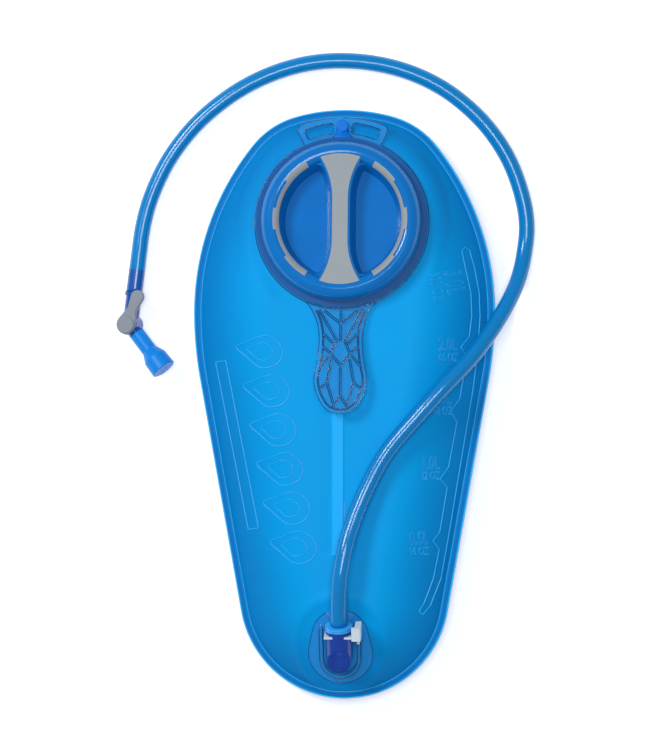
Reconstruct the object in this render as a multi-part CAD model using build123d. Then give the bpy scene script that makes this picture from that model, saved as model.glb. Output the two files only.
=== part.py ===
from build123d import *
import math
import os

# A 3 litre hydration bladder lying on its back. Millimetres.
# +Z is up and +Y runs from the drink tube's outlet to the fill mouth.
# +X is to the right of the bag seen from above.
# The origin is on the floor under the middle of the bag.

# ---- bag ----
BAG_HALF = 199.8  # half the bag's length
BOTTOM_ARC = (71.5, 79.9)  # radius, and turn in degrees, of each arc of the outline's right half
SIDE_RUN = 161.0  # straight stretch that tapers towards the outlet
UPPER_ARCS = ((257.0, 10.1), (181.0, 39.0), (57.0, 35.0))
TOP_TURN = 16.0  # the last arc closes the outline on the middle line
SEAM_Z = 20.0  # height of the welded seam
WELD = 5.0  # width of the weld round the edge
FILM = 0.6
SWELL_REACH = 50.0  # distance from the weld at which the bag reaches its full thickness
SWELL_POWER = 1.7
TIERS = (0.0, 0.08, 0.18, 0.3, 0.45, 0.65, 1.0)  # fractions of that distance
FRONT_RISE = 27.0  # full height of the front wall over the seam

# ---- baffle ----
BAFFLE_X = -2.5
BAFFLE_Y = (-102.0, 40.0)
BAFFLE_WALL = 0.8
BAFFLE_FOOT = 10.0  # width of the strips welded to the walls
BAFFLE_GAP = 0.3  # between a strip and its wall

# ---- fill mouth: heights are over the film, in the mouth's own tilted frame ----
LID_Y = 122.7
LID_RISE = 19.5  # of the film under the mouth, over the seam
LID_TILT = 7.0
LID_FLAT = 62.0  # radius of the film's flat round the mouth
MOUTH_PAD = 6.0  # depth of the flat's edge where it stands over the dome
NECK_BORE = 43.0
NECK_R = 47.0
NECK_TOP = 14.5
NECK_LIP = (51.0, -2.4, -0.75)  # radius, bottom and top of the lip welded under the film
MOUTH_R = 47.2
THREAD_LEAD = 32.0
THREAD_STARTS = 4
RAMP_SPAN = 70.0
RAMP_THICK = 1.8
RAMP_R = 49.6
RAMP_BOTTOM = 5.3
RAMP_ROOT = 0.4  # how far a ramp reaches into the neck's wall
SKIN_GAP = 0.15  # between the film and what lies on it

# ---- collar, handle and hang tab ----
COLLAR_R = 59.0
COLLAR_TOP = 2.15
HANDLE_TOP = 3.2
HANDLE_ROOT_X = 25.5
HANDLE_ROOT_Y = -52.0
GROOVE = 1.3
GROOVE_DEPTH = 1.0
BORDER_INSET = 2.2
BORDER_WIDTH = 0.9
TAB_R = 72.0
TAB_HALF = 26.0  # degrees each side of the middle
WINDOW_R = (61.0, 68.6)
WINDOW_SPAN = (5.5, 22.5)
WINDOW_CORNER = 1.8
TAB_CORNER = 3.5
PEG_Y = 65.5
PEG_R = 2.0
PEG_HEAD = (3.7, 5.0, 6.0)  # radius, bottom and top

# ---- lid ----
SKIRT_BORE = 51.0
SKIRT_R = 54.0
SKIRT_BOTTOM = 2.6
RING_BORE = 52.3
RING_R = 58.0
RING_Z = (3.2, 4.8)
STRAP_WIDTH = 7.6
STRAP_END = 70.0
STRAP_ROOT = (7.4, 61.0)  # half width at the ring, and where the flare ends
LUG_R = 48.3
LUG_Z = (3.0, 5.0)
LUG_SPAN = 14.0
GASKET_R = (42.6, 48.5)
GASKET_Z = (14.65, 16.5)
BOWL_FLOOR = (3.0, 5.0)
BOWL_R = 41.2
BOWL_RIM = 16.0  # height at which the rim meets the pockets
POCKET_DRAFT = 3.2  # how much smaller a pocket is at its floor, all round
POCKET_CORNER = 5.0
BAR_TOP = 17.0
PAD_TOP = 19.8
BAR_MARGIN = 1.3  # how much wider the blue bar is than the pad on it
PAD_WAIST = 10.5
PAD_END = 27.0
PAD_REACH = 44.4
PAD_SHOULDER = 42.0
PAD_STRAIGHT = 14.0
ARC_SPAN = 118.0
ARC_R = (41.3, 43.7, 45.4)  # inner, outer, and outer at the wide spots
ARC_Z = (14.0, 22.0)
ARC_BUMPS = ((0.0, 19.0), (-47.0, 24.0), (47.0, 24.0))  # middle and span of each wide spot
ARC_CORNER = 0.5

# ---- outlet: heights are over the film, in the outlet's own tilted frame ----
PORT_X = -1.2
PORT_Y = -159.5
PORT_RISE = 17.5
PORT_TILT = 20.0
PORT_MARGIN = 4.0  # of the film's flat round the outlet plate
PORT_PAD = 4.0
PLATE_TOP = 1.6
PLATE_BIG = (21.8, -8.5)  # radius, and place along the outlet, of the plate's two ends
PLATE_SMALL = (19.0, 4.4)
CRADLE = (14.0, 11.6)  # outer and inner half width
CRADLE_Y = (-11.0, 11.0)
CRADLE_TOP = 6.0
HUB_Y = -7.0
HUB_R = 7.8
HUB_TOP = 20.5
BODY_R = 9.0
BODY_AXIS = 11.3
BODY_LOW = 1.8
BODY_END = 13.0
PLUG_BORE = 5.5
SPOUT_R = 6.5
SPOUT_BORE = 4.0
SPOUT_END = -2.6
OUTLET_HOLE = 7.0
BACKING = (7.2, 13.0, -2.3, -0.75)
SEAT_Y = (2.0, 3.0)
SEAT_BORE = 4.0
CHAMBER_END = -10.5
CAP_R = 6.2
CAP_Z = (20.5, 22.0)

# ---- release button ----
LATCH_Y = (9.2, 10.7)
LATCH_HALF = 7.8
LATCH_X = (-9.6, 11.4)
LATCH_GAP = 0.35
LATCH_WINDOW = 5.9
BUTTON_TRAVEL = 1.5
BUTTON_X = (11.2, 15.2)
BUTTON_Y = (3.4, 17.6)
BUTTON_LOW = -3.8  # from the barrel's axis
BUTTON_TOP = 9.0
BUTTON_LIP = (8.9, 6.6)  # inner side and underside of the lip over the collar
SPRING_WIRE = 0.4

# ---- hose plug, along the outlet's own axis ----
PLUG_R = 5.4
PLUG_TIP = 3.3
PRONG_R = (2.2, 3.2)
PRONG_TIP = -1.0
COLLAR = (9.3, 13.4, 16.2)
BARB_CORE = 3.2
BARB_BORE = 2.2
BARB_R = 3.45
O_RING_Y = 5.6
O_RING_WIRE = 0.8

# ---- drink tube ----
TUBE_R = 5.45
TUBE_BORE = 3.45
TUBE_BEND = 0.45  # of the shorter run beside a corner, taken by the corner's arc

# ---- shut-off valve, with its own axis tilted and turned ----
VALVE_AT = (-147.8, 54.5, 7.9)
VALVE_TILT = -15.0
VALVE_TURN = -7.0
HOUSING_R = 7.0
HOUSING_HALF = 6.0
HOUSING_FLOOR = 1.2
STEM_R = 5.4
STEM_END = 22.5
STEM_FLANGE = (6.3, 2.5)  # radius and thickness of the shoulder that the hose meets
STEM_BARB = 17.0
MOUTH_ANGLE = 46.0
SPIGOT_R = 3.9
SPIGOT_END = 20.0
BARREL_R = 5.0
BARREL_GAP = 0.06
FLOW_BORE = 2.4
LEVER_Z = (6.6, 9.6)
LEVER_R = 6.7
LEVER_TIP = (4.6, 20.5)  # radius of the paddle's end, and its distance from the axis
LEVER_NECK = (3.3, 10.6)  # radius of the paddle's neck, and its distance
LEVER_TURN = -17.0  # from the hose's line, valve open
PIN_SIDE = 4.0
SEAL_Z = 3.9  # heights of the barrel's two seals, up and down
SEAL_WIDTH = 1.0

# ---- bite valve, along the mouth's axis ----
BITE_START = 7.7
BITE_FLARE = 22.7
BITE_SHOULDER = 29.3
BITE_END = 39.5
BITE_NECK_R = 5.3
BITE_R = 8.3
BITE_WALL_END = 36.0  # where the soft end wall starts
SPIGOT_GAP = 0.35
SLIT = (0.3, 9.0)


# ---- the bag's outline ----


def step(x, y, heading, radius, turn):
    """Where an arc that turns left ends."""
    after = heading + turn
    x += radius * (math.sin(math.radians(after)) - math.sin(math.radians(heading)))
    y += radius * (math.cos(math.radians(heading)) - math.cos(math.radians(after)))
    return x, y, after


def arc_piece(x, y, heading, radius, turn):
    """An arc as its centre, its radius and the directions from the centre between which it lies."""
    cx = x - radius * math.sin(math.radians(heading))
    cy = y + radius * math.cos(math.radians(heading))
    return cx, cy, radius, heading - 90, heading + turn - 90


def half_outline(inset):
    """The outline's right half, moved inwards: its arcs, and the run's start, heading and length."""
    x, y, heading = 0.0, inset - BAG_HALF, 0.0
    arcs = [arc_piece(x, y, heading, BOTTOM_ARC[0] - inset, BOTTOM_ARC[1])]
    x, y, heading = step(x, y, heading, BOTTOM_ARC[0] - inset, BOTTOM_ARC[1])
    run = (x, y, heading, SIDE_RUN)
    x += SIDE_RUN * math.cos(math.radians(heading))
    y += SIDE_RUN * math.sin(math.radians(heading))
    for radius, turn in UPPER_ARCS:
        arcs.append(arc_piece(x, y, heading, radius - inset, turn))
        x, y, heading = step(x, y, heading, radius - inset, turn)
    arcs.append(arc_piece(x, y, heading, x / math.sin(math.radians(TOP_TURN)), TOP_TURN))
    return arcs, run


def outline_face(inset):
    """The outline as a face on the XY plane."""
    arcs, run = half_outline(inset)
    edges = [CenterArc((cx, cy), radius, start, end - start) for cx, cy, radius, start, end in arcs]
    x, y, heading, length = run
    end = (x + length * math.cos(math.radians(heading)), y + length * math.sin(math.radians(heading)))
    edges.append(Line((x, y), end))
    edges += [mirror(edge, about=Plane.YZ) for edge in edges]
    return make_face(Curve() + edges)


# ---- small helpers ----


def disc(radius, low, high):
    """A disc on the Z axis."""
    return Pos(0, 0, low) * extrude(Circle(radius), high - low)


def ring(inner, outer, low, high):
    """A ring on the Z axis."""
    return Pos(0, 0, low) * extrude(Circle(outer) - Circle(inner), high - low)


def sector(inner, outer, low, high, start, span):
    """Part of a ring on the Z axis, from an angle and over a span."""
    section = Plane.XZ * Pos((inner + outer) / 2, (low + high) / 2) * Rectangle(outer - inner, high - low)
    return Rot(0, 0, start) * revolve(section, Axis.Z, span)


def block(x, y, z):
    """A box between two values on each axis."""
    size = (x[1] - x[0], y[1] - y[0], z[1] - z[0])
    return Pos((x[0] + x[1]) / 2, (y[0] + y[1]) / 2, (z[0] + z[1]) / 2) * Box(*size)


def along_y(part, height=0.0):
    """A part drawn on the Z axis, laid along +Y at a height."""
    return Pos(0, 0, height) * Rot(-90, 0, 0) * part


def coil(radius, length, turns):
    """A round spring on the Z axis."""
    path = Helix(length / turns, length, radius)
    section = Plane(path @ 0, x_dir=(1, 0, 0), z_dir=path % 0) * Circle(SPRING_WIRE / 2)
    return sweep(section, path=path, is_frenet=True)


MOUTH = Location((0, LID_Y, SEAM_Z + LID_RISE + FILM), (-LID_TILT, 0, 0))
PORT = Location((PORT_X, PORT_Y, SEAM_Z + PORT_RISE + FILM), (PORT_TILT, 0, 0))
VALVE = Location(VALVE_AT) * Rot(0, 0, VALVE_TURN) * Rot(0, VALVE_TILT, 0)
TO_MOUTH_END = Rot(0, 0, MOUTH_ANGLE - 180)  # turns +Y to the way the bite valve points


# ---- the bag ----


def swollen(rise):
    """A swollen solid on the XY plane, in tiers between outlines further and further in."""
    solid = Part()
    for low, high in zip(TIERS, TIERS[1:]):
        faces = [
            Pos(0, 0, rise * (1 - (1 - t) ** SWELL_POWER)) * outline_face(WELD + t * SWELL_REACH)
            for t in (low, high)
        ]
        solid += loft(faces, ruled=True)
    return solid


def bag_wall(rise):
    """A wall of film over the XY plane with its weld round it."""
    solid = swollen(rise)
    return extrude(outline_face(0), FILM) + Pos(0, 0, FILM) * solid, solid


def flat(place, face, top, depth, height):
    """What a flat adds to a dome under its top, and what it takes away over it."""
    under = place * Pos(0, 0, top - depth) * extrude(face, depth)
    over = place * Pos(0, 0, top) * extrude(face, height)
    return under, over


def front_film():
    """The front wall, flat round the mouth and under the outlet, with both holes."""
    outside, inside = bag_wall(FRONT_RISE)
    place = Pos(0, 0, SEAM_Z)
    outside, inside = place * outside, place * inside
    flats = (
        (MOUTH, Circle(LID_FLAT), MOUTH_PAD),
        (PORT, offset(plate_face(), PORT_MARGIN), PORT_PAD),
    )
    for at, face, depth in flats:
        under, over = flat(at, face, 0, depth, FRONT_RISE)
        outside = outside + under - over
        under, over = flat(at, offset(face, -FILM), -FILM, depth, 1)
        inside = inside + under - flat(at, offset(face, FILM), -FILM, depth, FRONT_RISE)[1]
    film = outside - inside
    film -= MOUTH * disc(MOUTH_R, -4, 4)
    film -= PORT * Pos(0, HUB_Y, 0) * disc(OUTLET_HOLE, -4, 4)
    return film


def back_film():
    """The back wall, flat where the bag lies on it."""
    outside, inside = bag_wall(SEAM_Z - FILM)
    return Pos(0, 0, SEAM_Z) * mirror(outside - inside, about=Plane.XY)


def baffle():
    """The inner wall between front and back, with a strip along each edge."""
    low = FILM + BAFFLE_GAP
    high = SEAM_Z + FRONT_RISE - BAFFLE_GAP
    half = BAFFLE_FOOT / 2
    web = block((BAFFLE_X - BAFFLE_WALL / 2, BAFFLE_X + BAFFLE_WALL / 2), BAFFLE_Y, (low, high))
    foot = block((BAFFLE_X - half, BAFFLE_X + half), BAFFLE_Y, (low, low + FILM))
    head = block((BAFFLE_X - half, BAFFLE_X + half), BAFFLE_Y, (high - FILM, high))
    return web + foot + head


# ---- the fill mouth ----


def thread_ramp():
    """One ramp of the quick-turn thread; its underside rises with the turn."""
    rise = THREAD_LEAD * RAMP_SPAN / 360
    depth = RAMP_R - NECK_R + RAMP_ROOT
    path = Helix(THREAD_LEAD, rise, RAMP_R - depth / 2)
    section = Plane(path @ 0, x_dir=(1, 0, 0), z_dir=path % 0) * Rectangle(depth, RAMP_THICK)
    return Pos(0, 0, RAMP_BOTTOM + RAMP_THICK / 2) * sweep(section, path=path, is_frenet=True)


def fill_neck():
    """The neck, its lip under the film and its thread."""
    lip_r, lip_low, lip_high = NECK_LIP
    neck = ring(NECK_BORE, NECK_R, lip_low, NECK_TOP) + ring(NECK_BORE, lip_r, lip_low, lip_high)
    for start in range(THREAD_STARTS):
        neck += Rot(0, 0, start * 360 / THREAD_STARTS) * thread_ramp()
    return MOUTH * neck


def handle_face(shrink):
    """The handle's outline in the mouth's frame, from the collar down."""
    root = (HANDLE_ROOT_X, HANDLE_ROOT_Y)
    side = [
        ThreePointArc(root, (17.4, -64), (14.4, -79)),
        ThreePointArc((14.4, -79), (15.2, -91), (17.6, -104)),
        ThreePointArc((17.6, -104), (17.0, -113), (13.8, -120.8)),
        ThreePointArc((13.8, -120.8), (8.2, -127.6), (0, -129.8)),
    ]
    other = [mirror(edge, about=Plane.YZ) for edge in side]
    face = make_face(Curve() + [*side, *other, Line(root, (-HANDLE_ROOT_X, HANDLE_ROOT_Y))])
    return offset(face, -shrink) if shrink else face


def groove(a, b):
    """A straight groove in the handle's top."""
    length = math.hypot(b[0] - a[0], b[1] - a[1])
    turn = math.degrees(math.atan2(b[1] - a[1], b[0] - a[0]))
    cut = SlotCenterToCenter(length, GROOVE)
    return Pos((a[0] + b[0]) / 2, (a[1] + b[1]) / 2) * Rot(0, 0, turn) * cut


def handle_grooves():
    """The handle's pattern of grooves, the same on both sides of the middle."""
    middle = [((0, -61), (0, -80)), ((0, -99.3), (0, -116.4))]
    side = [
        ((10.6, -60.5), (0, -69.2)),
        ((14.4, -59.8), (3, -80)),
        ((2.7, -80.5), (6.5, -89.4)),
        ((6.5, -89.4), (0, -97.2)),
        ((11.6, -75.8), (5.1, -82.2)),
        ((11.7, -84.5), (6.5, -89.4)),
        ((6.5, -89.4), (12.5, -96.6)),
        ((6.3, -93.8), (9, -108.9)),
        ((9, -108.9), (4.8, -122.6)),
        ((9, -108.9), (13.4, -112.4)),
        ((0, -117.8), (4.4, -124.6)),
    ]
    pattern = Sketch() + [groove(a, b) for a, b in middle + side]
    pattern += Sketch() + [groove((-a[0], a[1]), (-b[0], b[1])) for a, b in side]
    border = handle_face(BORDER_INSET) - handle_face(BORDER_INSET + BORDER_WIDTH)
    return pattern + (border & Pos(0, -95) * Rectangle(60, 70))


def window(side):
    """One window of the hang tab, its corners rounded."""
    start, end = WINDOW_SPAN
    first = 90 - end if side > 0 else 90 + start
    hole = sector(*WINDOW_R, SKIN_GAP - 1, COLLAR_TOP + 1, first, end - start)
    return fillet(hole.edges().filter_by(Axis.Z), WINDOW_CORNER)


def collar_handle():
    """The clear moulding on the film: collar, carrying handle and hang tab."""
    height = COLLAR_TOP - SKIN_GAP
    collar = ring(MOUTH_R, COLLAR_R, SKIN_GAP, COLLAR_TOP)
    tab = sector(COLLAR_R - 1, TAB_R, SKIN_GAP, COLLAR_TOP, 90 - TAB_HALF, 2 * TAB_HALF)
    tab = fillet(tab.edges().filter_by(Axis.Z).group_by(SortBy.DISTANCE)[-1], TAB_CORNER)
    tab = tab - window(1) - window(-1)
    grip = Pos(0, 0, SKIN_GAP) * extrude(handle_face(0), HANDLE_TOP - SKIN_GAP)
    grip -= disc(COLLAR_R, -1, HANDLE_TOP + 1)
    root = Pos(0, 0, SKIN_GAP) * extrude(handle_face(0), height)
    root -= disc(COLLAR_R - 1, -1, HANDLE_TOP + 1)
    grip -= Pos(0, 0, HANDLE_TOP - GROOVE_DEPTH) * extrude(handle_grooves(), 2 * GROOVE_DEPTH)
    peg_hole = Pos(0, PEG_Y, 0) * disc(PEG_R, -1, COLLAR_TOP + 1)
    return MOUTH * (collar + tab + root + grip - peg_hole)


def tether_anchor():
    """The peg that holds the tether on the hang tab."""
    head_r, head_low, head_high = PEG_HEAD
    peg = disc(PEG_R, SKIN_GAP + 0.3, head_low) + disc(head_r, head_low, head_high)
    return MOUTH * Pos(0, PEG_Y, 0) * peg


def tether_strap():
    """The flexible strap between the peg and the ring."""
    half = STRAP_WIDTH / 2
    root, root_end = STRAP_ROOT
    strap = block((-half, half), (RING_R - 1, STRAP_END - half), RING_Z)
    flare = make_face(Polyline(
        (-root, RING_R - 2), (root, RING_R - 2), (half, root_end), (-half, root_end), close=True,
    ))
    strap += Pos(0, 0, RING_Z[0]) * extrude(flare, RING_Z[1] - RING_Z[0])
    strap += Pos(0, STRAP_END - half, 0) * disc(half, *RING_Z)
    strap -= disc(RING_R + 0.05, -1, RING_Z[1] + 1)
    return MOUTH * (strap - Pos(0, PEG_Y, 0) * disc(PEG_R + 0.1, -1, RING_Z[1] + 1))


def tether_ring():
    """The ring that runs in the groove of the lid's skirt."""
    return MOUTH * ring(RING_BORE, RING_R, *RING_Z)


# ---- the lid ----


def pad_face(grow):
    """The bow-tie outline of the pad across the lid."""
    waist = PAD_WAIST / 2
    end = PAD_END / 2
    side = Curve() + [
        Line((waist, -PAD_STRAIGHT), (waist, PAD_STRAIGHT)),
        TangentArc((waist, PAD_STRAIGHT), (end, PAD_SHOULDER), tangent=(0, 1)),
        TangentArc((waist, -PAD_STRAIGHT), (end, -PAD_SHOULDER), tangent=(0, -1)),
    ]
    top = ThreePointArc((-end, PAD_SHOULDER), (0, PAD_REACH), (end, PAD_SHOULDER))
    tops = [top, mirror(top, about=Plane.XZ)]
    face = make_face(Curve() + [*side.edges(), *mirror(side, about=Plane.YZ).edges(), *tops])
    return offset(face, grow, kind=Kind.INTERSECTION) if grow else face


def lid_section():
    """Half section of the lid before its pockets are cut: floor, rolled rim and skirt."""
    low = BOWL_FLOOR[0]
    under = Polyline(
        (0, low), (37, low), (38.8, 4.8), (42.4, 14), (42.4, GASKET_Z[1]), (SKIRT_BORE, GASKET_Z[1]),
        (SKIRT_BORE, SKIRT_BOTTOM), (53, SKIRT_BOTTOM), (53, 2.9), (52, 2.9), (52, 5.1),
        (SKIRT_R, 5.1), (SKIRT_R, 10.5),
    )
    roll = ThreePointArc((SKIRT_R, 10.5), (52.4, 16.7), (47.6, 20))
    inner = ThreePointArc((47.6, 20), (43.4, 19), (BOWL_R - 0.2, BOWL_RIM))
    top = Polyline((BOWL_R - 0.2, BOWL_RIM), (0, BOWL_RIM), (0, low))
    return make_face(Plane.XZ * (Curve() + [*under.edges(), roll, inner, *top.edges()]))


def pocket_face(side, inset):
    """The outline of the hollow on one side of the bar, its corners round."""
    radius = BOWL_R - inset
    half = Pos(side * radius / 2, 0) * Rectangle(radius, 2 * radius)
    face = (Circle(radius) & half) - pad_face(BAR_MARGIN + inset)
    rows = face.vertices().group_by(Axis.Y)
    return fillet(rows[0] + rows[-1], POCKET_CORNER - inset)


def finger_pocket(side):
    """One of the two hollows beside the bar, its wall leaning out."""
    floor = Pos(0, 0, BOWL_FLOOR[1]) * pocket_face(side, POCKET_DRAFT)
    return loft([floor, Pos(0, 0, BAR_TOP) * pocket_face(side, 0)], ruled=True)


def grip_arc(start):
    """One soft arc on the rim's inner side, its ends and middle wider."""
    inner, outer, bump = ARC_R
    arc = sector(inner, outer, *ARC_Z, start - ARC_SPAN / 2, ARC_SPAN)
    for middle, span in ARC_BUMPS:
        arc += sector(inner, bump, *ARC_Z, start + middle - span / 2, span)
    arc = fillet(arc.edges().filter_by(Axis.Z), ARC_CORNER)
    skin = make_face(Plane.XZ * Polyline(
        (40.4, 16.6), (46.5, 17.6), (46.5, 20.5), (44.6, 20.2), (43.0, 19.5), (41.6, 18.4), (40.4, 16.9),
        close=True,
    ))
    return arc & revolve(skin, Axis.Z, 360)


def lid_parts():
    """The lid's shell, pad and arcs, which fit into one another."""
    shell = revolve(lid_section(), Axis.Z, 360)
    bar = Pos(0, 0, BOWL_RIM - 1) * extrude(pad_face(BAR_MARGIN), BAR_TOP - BOWL_RIM + 1)
    bar &= disc(GASKET_R[0] - 0.2, 0, PAD_TOP)
    flare = Pos(0, 0, GASKET_Z[1]) * extrude(pad_face(BAR_MARGIN), PAD_TOP - GASKET_Z[1] - 0.6)
    shell += bar + flare
    shell = shell - finger_pocket(1) - finger_pocket(-1)
    for start in range(THREAD_STARTS):
        angle = start * 360 / THREAD_STARTS + 2
        shell += sector(LUG_R, SKIRT_BORE + 0.5, *LUG_Z, angle, LUG_SPAN)
    pad = Pos(0, 0, BAR_TOP) * extrude(pad_face(0), PAD_TOP - BAR_TOP)
    arcs = grip_arc(0) + grip_arc(180)
    room = Pos(0, 0, BAR_TOP) * extrude(pad_face(0), 10)
    arcs -= Pos(0, 0, 10) * extrude(pad_face(BAR_MARGIN), 20)
    shell = shell - room - arcs
    return MOUTH * shell, MOUTH * pad, MOUTH * arcs


def lid_gasket():
    """The face seal between the lid and the neck."""
    return MOUTH * ring(*GASKET_R, *GASKET_Z)


# ---- the outlet ----


def plate_face():
    """The outlet plate's egg shape."""
    big = Pos(0, PLATE_BIG[1]) * Circle(PLATE_BIG[0])
    small = Pos(0, PLATE_SMALL[1]) * Circle(PLATE_SMALL[0])
    return make_hull(big.edges() + small.edges())


def cradle_face(half):
    """A U round the outlet's body, open towards the hose."""
    base = CRADLE_Y[0]
    sides = Rectangle(2 * half, CRADLE_Y[1] - base)
    return Pos(0, base) * Circle(half) + Pos(0, (base + CRADLE_Y[1]) / 2) * sides


def outlet_flange():
    """The clear plate on the film with the cradle for the outlet's body."""
    plate = Pos(0, 0, SKIN_GAP) * extrude(plate_face(), PLATE_TOP - SKIN_GAP)
    fence = extrude(cradle_face(CRADLE[0]) - cradle_face(CRADLE[1]), CRADLE_TOP - SKIN_GAP)
    fence = Pos(0, 0, SKIN_GAP) * fence - block((-20, 20), (CRADLE_Y[1] - 0.1, CRADLE_Y[1] + 20), (-1, 9))
    return PORT * (plate + fence - Pos(0, HUB_Y, 0) * disc(SPOUT_R + 0.1, -1, 3))


def outlet_backing():
    """The backing ring welded inside the film."""
    inner, outer, low, high = BACKING
    return PORT * Pos(0, HUB_Y, 0) * ring(inner, outer, low, high)


def outlet_body():
    """The elbow of the quick release: hub, barrel, spout, valve chamber and the latch's slot."""
    hub = Pos(0, HUB_Y, 0) * (disc(HUB_R, BODY_LOW, HUB_TOP) + disc(SPOUT_R, SPOUT_END, BODY_LOW + 1))
    barrel = along_y(Pos(0, 0, HUB_Y) * disc(BODY_R, 0, BODY_END - HUB_Y), BODY_AXIS)
    body = hub + barrel
    body -= along_y(disc(PLUG_BORE, SEAT_Y[1], BODY_END + 1) + disc(SEAT_BORE, 0, BODY_END), BODY_AXIS)
    body -= along_y(disc(PLUG_BORE, CHAMBER_END, SEAT_Y[0]), BODY_AXIS)
    body -= Pos(0, HUB_Y, 0) * disc(SPOUT_BORE, SPOUT_END - 1, BODY_AXIS)
    slot_y = (LATCH_Y[0] - LATCH_GAP, LATCH_Y[1] + LATCH_GAP)
    tall = LATCH_HALF + LATCH_GAP
    body -= block((-20, 20), slot_y, (BODY_AXIS - tall, BODY_AXIS + tall))
    return PORT * body


def outlet_cap():
    """The round cap on the hub."""
    cap = disc(CAP_R, *CAP_Z) - ring(CAP_R - 2.2, CAP_R - 1.4, CAP_Z[1] - 0.4, CAP_Z[1] + 1)
    return PORT * Pos(0, HUB_Y, 0) * cap


def release_button():
    """The sliding latch plate with its oblong window, and the button on its end."""
    z = (BODY_AXIS - LATCH_HALF, BODY_AXIS + LATCH_HALF)
    plate = block(LATCH_X, LATCH_Y, z)
    hole = Pos(-BUTTON_TRAVEL / 2, 0) * SlotCenterToCenter(2 * BUTTON_TRAVEL + 1, 2 * LATCH_WINDOW)
    plate -= along_y(extrude(Rot(0, 0, 180) * hole, LATCH_Y[1] + 5), BODY_AXIS)
    pad_y = (LATCH_Y[0] - 1, BUTTON_Y[1])
    lip_x, lip_z = BUTTON_LIP
    pad = block(BUTTON_X, pad_y, (BODY_AXIS + BUTTON_LOW, BODY_AXIS + BUTTON_TOP))
    pad += block((lip_x, BUTTON_X[0] + 1), pad_y, (BODY_AXIS + lip_z, BODY_AXIS + BUTTON_TOP))
    pad = fillet(pad.edges().filter_by(Axis.Y), 1.0)
    tail_x = (BUTTON_X[0] + 1, BUTTON_X[1] - 1.2)
    tail = block(tail_x, (BUTTON_Y[0], LATCH_Y[0] + 1), (BODY_AXIS - 2.4, BODY_AXIS + 2.4))
    return PORT * (plate + pad + tail)


def button_spring():
    """The spring that holds the button out."""
    length = BUTTON_X[0] + 1 - BODY_R - 0.4
    spring = Rot(0, 90, 0) * coil(1.5, length - SPRING_WIRE, 3)
    return PORT * Pos(BODY_R + 0.4 + SPRING_WIRE / 2, BUTTON_Y[0] + 2.4, BODY_AXIS) * spring


def valve_poppet():
    """The disc that closes the outlet when the hose is out, with its guide."""
    poppet = disc(5.0, -2.8, -1.4) + disc(2.0, -6.5, -2.8)
    return PORT * along_y(poppet, BODY_AXIS)


def poppet_seal():
    """The seal on the poppet's front."""
    return PORT * along_y(ring(3.5, 4.9, -1.4, -0.6), BODY_AXIS)


def poppet_spring():
    """The spring behind the poppet."""
    length = -3.0 - CHAMBER_END - 0.4
    spring = along_y(Pos(0, 0, CHAMBER_END + 0.3) * coil(3.4, length - SPRING_WIRE, 5), BODY_AXIS)
    return PORT * spring


# ---- the hose ----


def barb(start, end, rings):
    """A hose barb on the Z axis."""
    shape = disc(BARB_CORE, start, end)
    pitch = (end - start) / rings
    for i in range(rings):
        base = start + i * pitch + pitch * 0.25
        shape += Pos(0, 0, base + pitch * 0.3) * Cone(BARB_R, BARB_CORE, pitch * 0.6)
    return shape


def hose_plug():
    """The hose's plug: nose with its prong and groove, collar and barb."""
    collar_r, collar_low, collar_high = COLLAR
    plug = disc(PLUG_R, PLUG_TIP, collar_low) + disc(PRONG_R[1], PRONG_TIP, PLUG_TIP)
    plug -= ring(PLUG_R - 0.9, PLUG_R + 1, O_RING_Y - O_RING_WIRE, O_RING_Y + O_RING_WIRE)
    plug -= ring(PLUG_R - 0.9, PLUG_R + 1, LATCH_Y[0] - 0.3, LATCH_Y[1] + 0.3)
    plug += disc(collar_r, collar_low, collar_high) + barb(collar_high, collar_high + 14, 3)
    groove_y = (collar_low + collar_high) / 2
    plug -= ring(collar_r - 0.6, collar_r + 1, groove_y - 0.3, groove_y + 0.3)
    plug -= disc(BARB_BORE, PRONG_TIP - 1, collar_high + 20)
    return PORT * along_y(plug, BODY_AXIS)


def plug_o_ring():
    """The O-ring on the plug's nose."""
    return PORT * along_y(ring(PLUG_R - 0.85, PLUG_BORE - 0.05, O_RING_Y - 0.7, O_RING_Y + 0.7), BODY_AXIS)


# the drink tube's line: out of the plug, over the bag, down its right side and round its top to the valve
TUBE_ROUTE = (
    (-1.2, -125.5, 62.4),
    (2.4, -101.5, 63.2),
    (7.0, -83.0, 59.2),
    (17.0, -57.0, 55.6),
    (30.5, -31.5, 55.2),
    (50.0, -9.5, 55.6),
    (69.5, 12.5, 53.0),
    (88.0, 31.5, 47.0),
    (101.0, 50.0, 37.0),
    (111.0, 67.5, 25.5),
    (118.5, 85.0, 13.0),
    (122.3, 104.0, 6.2),
    (124.2, 124.0, 5.6),
    (119.5, 147.0, 5.7),
    (109.5, 172.0, 5.6),
    (90.0, 198.0, 5.7),
    (60.0, 221.0, 5.6),
    (22.0, 234.0, 5.7),
    (-22.0, 235.5, 5.6),
    (-63.0, 222.5, 5.7),
    (-97.0, 199.0, 5.6),
    (-119.5, 172.5, 5.7),
    (-132.5, 147.0, 5.6),
    (-139.5, 124.0, 5.9),
    (-142.6, 96.7, 7.9),
)


def tube_line():
    """The tube's centre line: straight runs joined by the largest arcs that they allow."""
    start = (PORT * Pos(0, COLLAR[2], BODY_AXIS)).position
    end = (VALVE * Pos(0, STEM_END, 0)).position
    points = [start, *(Vector(p) for p in TUBE_ROUTE), end]
    runs = [b - a for a, b in zip(points, points[1:])]
    radii = []
    for before, after in zip(runs, runs[1:]):
        half_turn = math.radians(before.get_angle(after)) / 2
        radii.append(TUBE_BEND * min(before.length, after.length) / math.tan(half_turn))
    return FilletPolyline(*points, radius=radii)


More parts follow.
